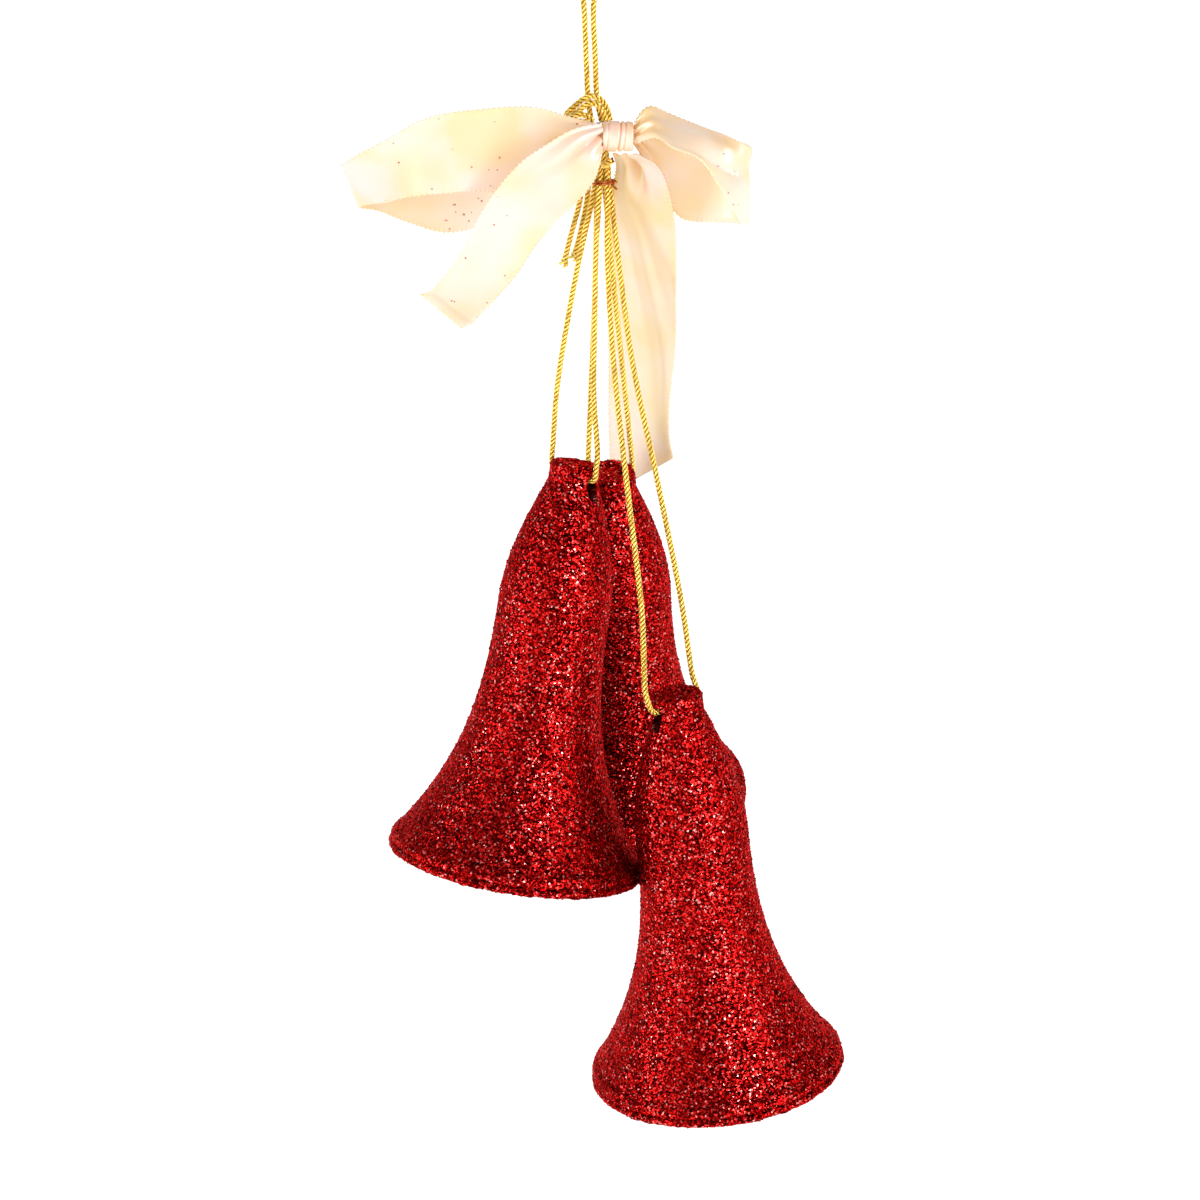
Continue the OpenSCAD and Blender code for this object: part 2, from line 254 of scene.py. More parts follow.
RIGHT_TAIL = [
    ((4.8, -5, -35), (9.4, -6, -34.8)),
    ((5.4, 1.5, -38.6), (13.2, -4, -37.6)),
    ((4.6, 4.6, -44), (15.3, -1.5, -43)),
    ((4.4, 7.6, -49.4), (16.2, 0.6, -49.2)),
    ((4.4, 13, -59.7), (17.1, 5, -59)),
    ((4.4, 17.2, -70), (17.2, 8.6, -67.9)),
    ((3.9, 20.6, -80.5), (16.8, 11.6, -78)),
    ((3.8, 23.4, -91), (16.2, 14, -86.9)),
    ((4.4, 25.4, -101.3), (16.3, 16, -95.5)),
    ((4.9, 27, -112), (17, 17.4, -101.8)),
]

# ----------------------------------------------------------------------------- camera


def turned_from_front(azimuth, elevation, distance):
    """A point at that distance from the aim, seen from the front at azimuth 0."""
    a, e = math.radians(azimuth), math.radians(elevation)
    back = Vector((math.sin(a) * math.cos(e), -math.cos(a) * math.cos(e), math.sin(e)))
    return (Vector(AIM) + distance * back) * MM


def aimed(obj, place):
    obj.location = place
    obj.rotation_euler = (Vector(AIM) * MM - place).to_track_quat("-Z", "Y").to_euler()
    bpy.context.collection.objects.link(obj)
    return obj


camera = bpy.data.objects.new("camera", bpy.data.cameras.new("camera"))
camera.data.lens = CAMERA_LENS
camera.data.sensor_width = CAMERA_SENSOR
camera.data.clip_end = 20
aimed(camera, turned_from_front(0, CAMERA_ELEVATION, CAMERA_DISTANCE))
bpy.context.scene.camera = camera

# ----------------------------------------------------------------------------- lines and meshes


def unit(v):
    return v / np.maximum(np.linalg.norm(v, axis=-1, keepdims=True), 1e-12)


def smooth_line(points, per_span=24):
    """A smooth line through the points, whose spans may differ in length."""
    p = np.array(points, float)
    p = np.vstack([2 * p[0] - p[1], p, 2 * p[-1] - p[-2]])
    line = []
    for a, b, c, d in zip(p[:-3], p[1:-2], p[2:-1], p[3:]):
        ta = 0
        tb = ta + np.linalg.norm(b - a) ** 0.5
        tc = tb + np.linalg.norm(c - b) ** 0.5
        td = tc + np.linalg.norm(d - c) ** 0.5
        t = np.linspace(tb, tc, per_span, endpoint=False)[:, None]
        ab = ((tb - t) * a + (t - ta) * b) / (tb - ta)
        bc = ((tc - t) * b + (t - tb) * c) / (tc - tb)
        cd = ((td - t) * c + (t - tc) * d) / (td - tc)
        abc = ((tc - t) * ab + (t - ta) * bc) / (tc - ta)
        bcd = ((td - t) * bc + (t - tb) * cd) / (td - tb)
        line.append(((tc - t) * abc + (t - tb) * bcd) / (tc - tb))
    return np.vstack(line + [p[-2:-1]])


def distances(line):
    steps = np.linalg.norm(np.diff(line, axis=0), axis=1)
    return np.concatenate([[0], np.cumsum(steps)])


def evenly(line, step, measured=None):
    """The line's points moved to equal steps, measured along the line itself or along another."""
    s = distances(line if measured is None else measured)
    count = max(2, round(s[-1] / step)) + 1
    even = np.linspace(0, s[-1], count)
    columns = [np.interp(even, s, line[:, k]) for k in range(line.shape[1])]
    return np.stack(columns, axis=1), even


def carried_sides(line):
    """At each point the direction along, and two across it that don't twist from point to point."""
    along = unit(np.gradient(line, axis=0))
    start = np.array([0, 1, 0] if abs(along[0][1]) < 0.9 else [1, 0, 0], float)
    side = np.zeros_like(line)
    for i, direction in enumerate(along):
        start = start - direction * (start @ direction)
        start = start / np.linalg.norm(start)
        side[i] = start
    return along, side, np.cross(along, side)


def grid_faces(rows, columns, closed):
    """Faces of a grid of points; closed joins its last column to the first."""
    r, c = np.meshgrid(
        np.arange(rows - 1), np.arange(columns if closed else columns - 1), indexing="ij"
    )
    r, c = r.ravel(), c.ravel()
    right = (c + 1) % columns
    here, up = r * columns, (r + 1) * columns
    return np.stack([here + c, here + right, up + right, up + c], axis=1)


def tube_mesh(line, radius, sides):
    """Points and faces of a closed tube; radius is one number or one for each point."""
    along, side, up = carried_sides(line)
    angle = 2 * np.pi * np.arange(sides) / sides
    ring = np.cos(angle)[None, :, None] * side[:, None] + np.sin(angle)[None, :, None] * up[:, None]
    width = np.broadcast_to(radius, len(line))[:, None, None]
    points = (line[:, None] + width * ring).reshape(-1, 3)
    last = (len(line) - 1) * sides
    faces = grid_faces(len(line), sides, True).tolist()
    faces.append(list(range(sides - 1, -1, -1)))
    faces.append(list(range(last, last + sides)))
    return points, faces


def joined(parts):
    """One list of points and one of faces from several."""
    points, faces, start = [], [], 0
    for more_points, more_faces in parts:
        points.append(more_points)
        faces.extend([[start + i for i in face] for face in more_faces])
        start += len(more_points)
    return np.vstack(points), faces


def mesh_object(name, points, faces, materials, smooth=True):
    """An object from points in millimetres."""
    mesh = bpy.data.meshes.new(name)
    mesh.from_pydata((np.asarray(points) * MM).tolist(), [], [list(f) for f in faces])
    mesh.polygons.foreach_set("use_smooth", [smooth] * len(mesh.polygons))
    for material in materials:
        mesh.materials.append(material)
    mesh.update()
    obj = bpy.data.objects.new(name, mesh)
    bpy.context.collection.objects.link(obj)
    return obj


def read_all(items, key, width=1, kind=float):
    """One property of all vertices, corners or faces of a mesh."""
    values = np.zeros(width * len(items), kind)
    items.foreach_get(key, values)
    return values if width == 1 else values.reshape(-1, width)


def point_values(obj, name, values):
    attribute = obj.data.attributes.new(name, "FLOAT", "POINT")
    attribute.data.foreach_set("value", np.asarray(values, np.float32))


def point_map(obj, name, u, v):
    """A UV map from two values at each point."""
    corner = read_all(obj.data.loops, "vertex_index", kind=np.int32)
    uv = np.stack([u[corner], v[corner]], axis=1)
    obj.data.uv_layers.new(name=name).data.foreach_set("uv", uv.astype(np.float32).ravel())


# ----------------------------------------------------------------------------- materials


class Nodes:
    """A material and the nodes that feed its Principled BSDF."""

    def __init__(self, name):
        self.material = bpy.data.materials.new(name)
        self.material.use_nodes = True
        self.tree = self.material.node_tree
        self.shader = self.tree.nodes["Principled BSDF"]

    def node(self, kind, inputs=None, **settings):
        node = self.tree.nodes.new(kind)
        for key, value in settings.items():
            setattr(node, key, value)
        for key, value in (inputs or {}).items():
            if isinstance(value, bpy.types.NodeSocket):
                self.tree.links.new(value, node.inputs[key])
            else:
                node.inputs[key].default_value = value
        return node

    def ramp(self, factor, stops, interpolation="LINEAR"):
        ramp = self.node("ShaderNodeValToRGB", {"Fac": factor})
        ramp.color_ramp.interpolation = interpolation
        elements = ramp.color_ramp.elements
        while len(elements) < len(stops):
            elements.new(1)
        for element, (place, colour) in zip(elements, stops):
            element.position = place
            element.color = (*colour, 1)
        return ramp.outputs["Color"]

    def scaled(self, value, low, high):
        return self.node(
            "ShaderNodeMapRange", {"Value": value, "To Min": low, "To Max": high}
        ).outputs["Result"]

    def object_coordinates(self):
        return self.node("ShaderNodeTexCoord").outputs["Object"]

    def set(self, **sockets):
        for key, value in sockets.items():
            socket = self.shader.inputs[key.replace("_", " ")]
            if isinstance(value, bpy.types.NodeSocket):
                self.tree.links.new(value, socket)
            else:
                socket.default_value = value
        return self.material


def glitter():
    """Irregular red flakes about a grain across, each with its own tilt and a painted reflection: a
    random brightness from near black to pink-white that stands in for what the flake mirrors.
    """
    n = Nodes("red_glitter")
    place = n.object_coordinates()
    cells = n.node(
        "ShaderNodeTexVoronoi", {"Vector": place, "Scale": 1 / (GRAIN * MM), "Randomness": 1}
    )
    chance = n.node("ShaderNodeSeparateColor", {"Color": cells.outputs["Color"]})
    # Painted reflection: the dark flakes stand for ones that mirror dark surroundings, and the
    # bright red and pink-white ones are painted sparkle.
    flake_painted_reflection = n.ramp(
        chance.outputs["Red"],
        [
            (0, (0.01, 0.0002, 0.0002)),
            (0.3, (0.05, 0.0004, 0.0005)),
            (0.58, (0.23, 0.0012, 0.0015)),
            (0.84, (0.76, 0.01, 0.009)),
            (0.95, (1, 0.045, 0.04)),
            (0.992, (1, 0.36, 0.33)),
        ],
    )
    tilt = n.node(
        "ShaderNodeVectorMath",
        {0: cells.outputs["Color"], 1: (0.5, 0.5, 0.5)},
        operation="SUBTRACT",
    )
    tilt = n.node(
        "ShaderNodeVectorMath", {0: tilt.outputs[0], "Scale": GRAIN_TILT}, operation="SCALE"
    )
    flat = n.node("ShaderNodeNewGeometry").outputs["Normal"]
    turned = n.node("ShaderNodeVectorMath", {0: flat, 1: tilt.outputs[0]}, operation="ADD")
    normal = n.node("ShaderNodeVectorMath", {0: turned.outputs[0]}, operation="NORMALIZE")
    return n.set(
        Base_Color=flake_painted_reflection,
        Metallic=0.9,
        Roughness=n.scaled(chance.outputs["Green"], 0.2, 0.42),
        Specular_Tint=(1, 0.07, 0.06, 1),
        Specular_IOR_Level=0.3,
        Normal=normal.outputs[0],
    )


def red_plastic():
    """The moulding inside a bell, where the glitter coat ends."""
    n = Nodes("red_plastic")
    place = n.object_coordinates()
    cloud = n.node("ShaderNodeTexNoise", {"Vector": place, "Scale": 300, "Detail": 4})
    fine = n.node("ShaderNodeTexNoise", {"Vector": place, "Scale": 2500, "Detail": 2})
    bump = n.node(
        "ShaderNodeBump",
        {"Height": fine.outputs["Fac"], "Strength": 0.25, "Distance": 0.0002},
    )
    return n.set(
        Base_Color=n.ramp(
            cloud.outputs["Fac"], [(0.3, (0.11, 0.002, 0.003)), (0.7, (0.2, 0.004, 0.006))]
        ),
        Roughness=n.scaled(cloud.outputs["Fac"], 0.3, 0.5),
        Normal=bump.outputs["Normal"],
    )


def gold_thread():
    """Metallic yarn, with painted shade in dark brown where the strands face the middle of the cord
    and a painted highlight in pale yellow on their outer crowns.
    """
    n = Nodes("gold_cord")
    groove_shade = n.node("ShaderNodeAttribute", attribute_name="groove_shade").outputs["Fac"]
    along = n.node("ShaderNodeUVMap", uv_map="Yarn").outputs["UV"]
    wrap = n.node(
        "ShaderNodeTexWave",
        {"Vector": along, "Scale": 1.6, "Distortion": 2.5, "Detail": 2, "Detail Scale": 2},
        bands_direction="DIAGONAL",
    )
    glint = n.node("ShaderNodeTexNoise", {"Vector": n.object_coordinates(), "Scale": 2200})
    # Painted shade and highlight: near the middle of the cord the colour falls to dark brown, and
    # on the outermost crowns it rises to pale yellow.
    gold_with_painted_shade = n.ramp(
        groove_shade,
        [
            (0.5, (0.05, 0.003, 0.0)),
            (0.7, (0.36, 0.07, 0.0)),
            (0.83, (0.95, 0.47, 0.012)),
            (0.95, (1.0, 0.8, 0.2)),
        ],
    )
    bump = n.node(
        "ShaderNodeBump",
        {"Height": wrap.outputs["Fac"], "Strength": 0.8, "Distance": 0.00012},
    )
    return n.set(
        Base_Color=gold_with_painted_shade,
        Metallic=0.9,
        Roughness=n.scaled(glint.outputs["Fac"], 0.15, 0.5),
        Normal=bump.outputs["Normal"],
    )


def satin():
    """Cream satin: fine threads along the ribbon, a denser woven edge, and cloudy patches of
    painted shade and sheen.
    """
    n = Nodes("satin_ribbon")
    across = n.node("ShaderNodeUVMap", uv_map="Ribbon").outputs["UV"]
    stretched = n.node(
        "ShaderNodeMapping", {"Vector": across, "Scale": (0.35, 9, 1)}, vector_type="POINT"
    )
    threads = n.node(
        "ShaderNodeTexNoise", {"Vector": stretched.outputs[0], "Scale": 1, "Detail": 3}
    )
    cloud = n.node("ShaderNodeTexNoise", {"Vector": n.object_coordinates(), "Scale": 70})
    edge = n.node("ShaderNodeAttribute", attribute_name="edge").outputs["Fac"]
    # Painted shade and sheen: the cloud lays golden patches of painted shade and cream patches of
    # painted sheen over the ribbon.
    colour = n.ramp(
        cloud.outputs["Fac"],
        [(0.38, (0.93, 0.52, 0.25)), (0.56, (0.96, 0.6, 0.45)), (0.7, (0.97, 0.63, 0.52))],
    )
    bump = n.node(
        "ShaderNodeBump",
        {"Height": threads.outputs["Fac"], "Strength": 0.12, "Distance": 0.0001},
    )
    return n.set(
        Base_Color=colour,
        Roughness=n.scaled(edge, 0.42, 0.66),
        IOR=2.0,
        Specular_IOR_Level=1.0,
        Sheen_Weight=0.3,
        Sheen_Roughness=0.4,
        Subsurface_Weight=0.5,
        Subsurface_Radius=(0.004, 0.002, 0.0007),
        Subsurface_Scale=1.0,
        Normal=bump.outputs["Normal"],
    )


def shed_flake():
    """Single flakes of the glitter, lighter and browner against the satin."""
    n = Nodes("shed_flake")
    cloud = n.node("ShaderNodeTexNoise", {"Vector": n.object_coordinates(), "Scale": 400})
    return n.set(
        Base_Color=n.ramp(
            cloud.outputs["Fac"], [(0.35, (0.3, 0.02, 0.005)), (0.65, (0.6, 0.12, 0.03))]
        ),
        Metallic=0.4,
        Roughness=n.scaled(cloud.outputs["Fac"], 0.3, 0.5),
    )


def copper():
    n = Nodes("copper_wire")
    tarnish = n.node("ShaderNodeTexNoise", {"Vector": n.object_coordinates(), "Scale": 1500})
    return n.set(
        Base_Color=n.ramp(
            tarnish.outputs["Fac"], [(0.35, (0.25, 0.05, 0.01)), (0.6, (0.7, 0.22, 0.07))]
        ),
        Metallic=1.0,
        Roughness=n.scaled(tarnish.outputs["Fac"], 0.2, 0.45),
    )


def pale_floor():
    n = Nodes("pale_floor")
    grain = n.node("ShaderNodeTexNoise", {"Vector": n.object_coordinates(), "Scale": 3})
    return n.set(
        Base_Color=n.ramp(grain.outputs["Fac"], [(0, (0.9, 0.9, 0.9)), (1, (0.94, 0.94, 0.94))]),
        Roughness=0.8,
        Specular_IOR_Level=0.1,
        Emission_Color=(1, 1, 1, 1),
        Emission_Strength=0.85,
    )


RED_GLITTER = glitter()
RED_PLASTIC = red_plastic()
GOLD = gold_thread()
SATIN = satin()
SHED_FLAKE = shed_flake()
COPPER = copper()

# ----------------------------------------------------------------------------- cords


def turn(axis, degrees):
    return np.array(Matrix.Rotation(math.radians(degrees), 3, axis))


def on_bell(n, points):
    """Points given in a bell's own frame, whose origin is the top of its neck."""
    top, (about_x, about_y), slot = BELLS[n]
    return np.array(top) + np.atleast_2d(points) @ (
        turn("Y", about_y) @ turn("X", about_x) @ turn("Z", slot)
    ).T


def yarn_cord(name, routes, loose_end=0):
    """Twisted cords along routes; loose_end is how far the strands part at their last end."""
    parts, groove_shade_values, distances_along = [], [], []
    for route in routes:
        line, along = evenly(smooth_line(route), CORD_STEP)
        _, side, up = carried_sides(line)
        parting = loose_end * np.clip(1 - (along[-1] - along) / CUT_END_REACH, 0, 1) ** 2
        for k in range(STRANDS):
            angle = 2 * np.pi * (along / TWIST_PITCH + k / STRANDS)
            out = np.cos(angle)[:, None] * side + np.sin(angle)[:, None] * up
            centre = line + (STRAND_OFFSET + parting)[:, None] * out
            points, faces = tube_mesh(centre, STRAND_RADIUS, STRAND_SIDES)
            middle = np.repeat(line, STRAND_SIDES, axis=0)
            from_middle = np.linalg.norm(points - middle, axis=1)
            parts.append((points, faces))
            # Distance from the cord's middle; the gold material turns it into painted shade,
            # darkest where the strands face inwards.
            groove_shade_values.append(from_middle / (CORD_DIAMETER / 2))
            distances_along.append(np.repeat(along, STRAND_SIDES))
    points, faces = joined(parts)
    obj = mesh_object(name, points, faces, [GOLD])
    point_values(obj, "groove_shade", np.concatenate(groove_shade_values))
    round_strand = (np.arange(len(points)) % STRAND_SIDES) / STRAND_SIDES
    point_map(obj, "Yarn", np.concatenate(distances_along), round_strand)
    return obj


def ring_point(angle, radius, height):
    """A point on a ring round the binding; height is measured from the binding."""
    a = math.radians(angle)
    return (
        BINDING[0] + radius * math.cos(a),
        BINDING[1] + radius * math.sin(a),
        BINDING[2] + height,
    )


def round_neck(n, side):
    """The cord's points beside the neck of a bell, ending inside its slot."""
    sign = 1 if side == 0 else -1
    points = []
    for distance, share, height in NECK_TURN:
        lean = STRAND_LEAN[n][side] * share
        out = math.sqrt(distance**2 - lean**2) + STRAND_STAND_OFF[n][side] * share
        points.append((sign * out, sign * lean, height))
    return [tuple(p) for p in on_bell(n, points)]


def strand(n, side):
    """From the binding down to the slot of a bell, on the + side of its slot line or the - side."""
    angle = STRAND_ANGLES[n][side]
    top = [ring_point(angle, BUNDLE_RING, BUNDLE_END), ring_point(angle, STRAND_RING, STRAND_START)]
    return top + list(STRAND_ROUTES[n][side]) + round_neck(n, side)


for n in range(len(BELLS)):
    route = strand(n, 0) + strand(n, 1)[::-1]
    bell_cord = yarn_cord(f"bell_{n + 1}_twisted_cord", [route])
    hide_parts(f"bell_{n + 1}_cord")
    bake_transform(bell_cord)


def hanger_cord(name, node, routes, loose_end=0):
    """A cord on the hanger, shown in place of the part it hides; loose_end is how far its strands
    part at the last end.
    """
    obj = yarn_cord(name, routes, loose_end)
    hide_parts(node)
    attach(obj, "hanger")


def along_bundle(angle):
    """A cord beside the middle one of the bundle, down to where the strands leave it."""
    a = math.radians(angle)
    across, back = BUNDLE_RING * math.cos(a), BUNDLE_RING * math.sin(a)
    middle = BUNDLE_ROUTE[:-1] + [(BINDING[0], BINDING[1], BINDING[2] + BUNDLE_END)]
    return [(x + across, y + back, z) for x, y, z in middle]


hanger_cord("hanging_twisted_loop", "hanging_loop", [HANGING_ROUTE])
hanger_cord("twisted_knot", "hanger_knot", [KNOT_ROUTE, INNER_KNOT_ROUTE])
hanger_cord(
    "gathered_cords",
    "cord_bundle",
    [BUNDLE_ROUTE] + [along_bundle(a) for pair in STRAND_ANGLES for a in pair],
)
hanger_cord("bow_tie_cord", "tie_cord", [TIE_ROUTE])
hanger_cord("long_cut_tail", "cut_tail_long", [LONG_TAIL_ROUTE], loose_end=CUT_END_SPREAD)
hanger_cord("short_cut_tail", "cut_tail_short", [SHORT_TAIL_ROUTE], loose_end=CUT_END_SPREAD)


def bound_wire():
    """Two close turns round the cords, with both ends of the wire sticking out."""
    radius = STRAND_RING + CORD_DIAMETER / 2 + 0.1
    per_turn = 12
    coil = []
    for k in range(per_turn * WIRE_TURNS + 1):
        angle = WIRE_START_ANGLE + 360 / per_turn * k
        coil.append(ring_point(angle, radius, WIRE_START + WIRE_RISE * k / per_turn))
    line, _ = evenly(smooth_line(WIRE_FIRST_END + coil + WIRE_LAST_END), WIRE_STEP)
    obj = mesh_object("copper_binding", *tube_mesh(line, WIRE_RADIUS, 10), [COPPER])
    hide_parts("binding_wire")
    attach(obj, "hanger")


bound_wire()

# ----------------------------------------------------------------------------- bells

FLARE_END = BELL_HEIGHT - 4.5
FLARE_RADIUS = MOUTH_RADIUS - 1.6


def outer(depth):
    """Radius of the outside of a bell at a depth below the top of its neck."""
    depth = np.asarray(depth, float)
    part = np.clip((depth - NECK_LENGTH) / (SHOULDER_END - NECK_LENGTH), 0, 1)
    shoulder = NECK_RADIUS + (WAIST_RADIUS - NECK_RADIUS) * np.sin(np.pi / 2 * part)
    open_part = np.clip((depth - SHOULDER_END) / (FLARE_END - SHOULDER_END), 0, 1.2)
    return shoulder + (FLARE_RADIUS - WAIST_RADIUS) * open_part**FLARE_POWER


def inner(depth):
    slope = outer(depth + 0.5) - outer(depth - 0.5)
    return outer(depth) - WALL * np.sqrt(1 + slope**2)


def bell_outline():
    """The outline of the moulding from the middle of its crown round the lip to the inside."""
    h, r = BELL_HEIGHT, MOUTH_RADIUS
    # a shallow dish in the middle of the crown, then its rounded edge
    crown = [
        (0, -0.7), (DISH_RADIUS - 0.4, -0.6), (DISH_RADIUS + 0.3, 0), (NECK_RADIUS - 0.8, 0),
        (NECK_RADIUS - 0.25, -0.35), (NECK_RADIUS, -1),
    ]
    depths = np.concatenate([np.arange(NECK_LENGTH, FLARE_END - 1, 1.0), [FLARE_END]])
    outside = [(float(outer(d)), -float(d)) for d in depths]
    # a groove above the lip, then the bead along it
    lip = [
        (r - 0.7, -FLARE_END - 0.8), (r - 0.2, 2.7 - h), (r - 0.2, 2 - h),
        (r - 0.6, 1.7 - h), (r - 0.15, 1.4 - h), (r, 0.9 - h), (r - 0.15, 0.3 - h),
        (r - 0.7, -h), (r - 1.7, -h), (r - 2, 0.6 - h),
    ]
    inside = [(float(inner(d)), -float(d)) for d in depths[::-1]]
    end = [(float(inner(NECK_LENGTH)), -CROWN_THICKNESS - 0.3)]
    end += [(float(inner(NECK_LENGTH)) - 0.3, -CROWN_THICKNESS), (0, -CROWN_THICKNESS)]
    coated, _ = evenly(np.array(crown + outside + lip), DOWN_BELL)
    bare, _ = evenly(np.array([lip[-1]] + inside + end), 4 * DOWN_BELL)
    return coated, bare[1:]


def value_noise(points, size, seed):
    """Smooth random values from -1 to 1 that change over a distance of size."""
    cells = 64
    lattice = np.random.default_rng(seed).uniform(-1, 1, (cells, cells, cells))
    p = points / size + 1000
    cell = np.floor(p).astype(int)
    part = p - cell
    total = np.zeros(len(points))
    for step in itertools.product((0, 1), repeat=3):
        corner = (cell + step) % cells
        share = np.prod(np.where(step, part, 1 - part), axis=1)
        total += share * lattice[corner[:, 0], corner[:, 1], corner[:, 2]]
    return total


def plain_bell():
    """One smooth bell in its own frame, with its two slots cut."""
    coated, bare = bell_outline()
    outline = np.vstack([coated, bare])
    angle = 2 * np.pi * np.arange(ROUND_BELL) / ROUND_BELL
    middle = outline[1:-1]
    rings = np.stack(
        [
            middle[:, :1] * np.cos(angle),
            middle[:, :1] * np.sin(angle),
            np.repeat(middle[:, 1:], ROUND_BELL, axis=1),
        ],
        axis=2,
    ).reshape(-1, 3)
    top, under = len(rings), len(rings) + 1
    points = np.vstack([rings, [(0, 0, outline[0][1]), (0, 0, outline[-1][1])]])
    faces = grid_faces(len(middle), ROUND_BELL, True)[:, ::-1].tolist()
    last = (len(middle) - 1) * ROUND_BELL
    for k in range(ROUND_BELL):
        j = (k + 1) % ROUND_BELL
        faces.append([k, j, top])
        faces.append([last + j, last + k, under])
    bell = mesh_object("plain_bell", points, faces, [])
    slot = slot_cutter()
    cut = bell.modifiers.new("slots", "BOOLEAN")
    cut.object = slot
    cut.operation = "DIFFERENCE"
    cut.solver = "EXACT"
    evaluated = bell.evaluated_get(bpy.context.evaluated_depsgraph_get())
    mesh = bpy.data.meshes.new_from_object(evaluated)
    bpy.data.objects.remove(bell)
    bpy.data.objects.remove(slot)
    return mesh


def slot_cutter():
    """A bar with rounded ends that passes through both walls of the neck."""
    half, across = SLOT_WIDTH / 2, 2 * NECK_RADIUS
    outline = []
    for first, level in ((0, -SLOT_TOP - half), (math.pi, -SLOT_TOP - SLOT_HEIGHT + half)):
        for k in range(33):
            a = first + math.pi * k / 32
            outline.append((half * math.cos(a), level + half * math.sin(a)))
    count = len(outline)
    points = [(x, y, z) for x in (-across, across) for y, z in outline]
    faces = [list(range(count - 1, -1, -1)), list(range(count, 2 * count))]
    for k in range(count):
        j = (k + 1) % count
        faces.append([k, j, count + j, count + k])
    return mesh_object("slot_bar", points, faces, [])


def coat_of(points):
    """1 on the outside of a bell, its crown and its lip, 0 on the bare inside."""
    radius = np.hypot(points[:, 0], points[:, 1])
    depth = -points[:, 2]
    outside = radius > outer(np.clip(depth, 0, FLARE_END)) - WALL / 2
    crown = depth < CROWN_THICKNESS - 0.5
    lip = depth > BELL_HEIGHT - 2.5
    return (outside | crown | lip).astype(float)


def glitter_bell(n, base):
    """A bell with a coat of grains, heaped up a little along the lip."""
    mesh = base.copy()
    mesh.name = f"glitter_bell_{n + 1}"
    points = read_all(mesh.vertices, "co", 3) / MM
    normals = read_all(mesh.vertices, "normal", 3)
    coat = coat_of(points)
    near_lip = np.clip(1 - (points[:, 2] + BELL_HEIGHT) / LIP_HEAP_REACH, 0, 1)
    height = LUMP_HEIGHT * value_noise(points, LUMP, 10 + n)
    height += UNEVEN_HEIGHT * value_noise(points, 3 * LUMP, 20 + n)
    height += LIP_HEAP * near_lip * np.clip(value_noise(points, 2.2 * LUMP, 30 + n), 0, 1)
    points = on_bell(n, points + (coat * height)[:, None] * normals)
    mesh.vertices.foreach_set("co", (points * MM).ravel())
    mesh.materials.clear()
    mesh.materials.append(RED_GLITTER)
    mesh.materials.append(RED_PLASTIC)
    bare = coat_of(read_all(base.polygons, "center", 3) / MM) < 0.5
    mesh.polygons.foreach_set("material_index", bare.astype(np.int32))
    mesh.polygons.foreach_set("use_smooth", bare)
    mesh.update()
    bell = bpy.data.objects.new(mesh.name, mesh)
    bpy.context.collection.objects.link(bell)
    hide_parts(f"bell_{n + 1}")
    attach(bell, f"bell_{n + 1}_body")
    return bell


def flake_coat(n, bell):
    """Loose six-sided flakes that stand proud of the coat at all angles."""
    rng = np.random.default_rng(50 + n)
    polygons = bell.data.polygons
    coated = read_all(polygons, "material_index", kind=np.int32) == 0
    share = read_all(polygons, "area") * coated
    chosen = rng.choice(len(polygons), FLAKES, p=share / share.sum())
    centre = read_all(polygons, "center", 3)[chosen] / MM
    normal = read_all(polygons, "normal", 3)[chosen]
    facing = unit(normal + FLAKE_LEAN * rng.normal(size=(FLAKES, 3)))
    side = unit(np.cross(facing, rng.normal(size=(FLAKES, 3))))
    up = np.cross(facing, side)
    radius = rng.uniform(*FLAKE_RADII, FLAKES)[:, None]
    points = []
    for level in (-FLAKE_THICKNESS / 2, FLAKE_THICKNESS / 2):
        for k in range(6):
            a = math.pi * k / 3
            corner = math.cos(a) * side + math.sin(a) * up
            points.append(centre + radius * corner + level * facing)
    points = np.stack(points, axis=1).reshape(-1, 3)
    pattern = [[5, 4, 3, 2, 1, 0], [6, 7, 8, 9, 10, 11]]
    pattern += [[k, (k + 1) % 6, 6 + (k + 1) % 6, 6 + k] for k in range(6)]
    faces = [[12 * i + k for k in face] for i in range(FLAKES) for face in pattern]
    obj = mesh_object(f"loose_flakes_{n + 1}", points, faces, [RED_GLITTER], smooth=False)
    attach(obj, f"bell_{n + 1}_body")


base_bell = plain_bell()
for n in range(len(BELLS)):
    flake_coat(n, glitter_bell(n, base_bell))

# ----------------------------------------------------------------------------- ribbon


def across_ribbon():
    """Shares across the ribbon, closer together in its two woven edges."""
    edge = np.array([0, 0.15, 0.4, 0.7, 1.0]) / RIBBON_WIDTH
    inset = SELVEDGE + 0.7
    middle = np.linspace(inset, RIBBON_WIDTH - inset, 17) / RIBBON_WIDTH
    return np.concatenate([edge, middle, 1 - edge[::-1]])


def swell(value, middle, width):
    """1 at the middle, fading to 0 over about a width on each side."""
    return np.exp(-(((value - middle) / width) ** 2))


def gathers(along, share, reach=7):
    """Small pleats where the ribbon is drawn into the wrap."""
    return 0.45 * np.exp(-((along / reach) ** 2)) * np.sin(2 * np.pi * (2.5 * share + 0.1))


def left_loop_folds(along, share, total):
    """A hollow beside the wrap, a crown before the fold, and one more hollow behind."""
    hollow = 1.8 * swell(along - 12 * (share - 0.5), 18, 7)
    crown = 1.5 * swell(along + 3 * (share - 0.5), 39, 9)
    behind = 0.9 * swell(along - 10 * (share - 0.5), 76, 9)
    return hollow - crown + behind + gathers(along, share) + gathers(total - along, share)


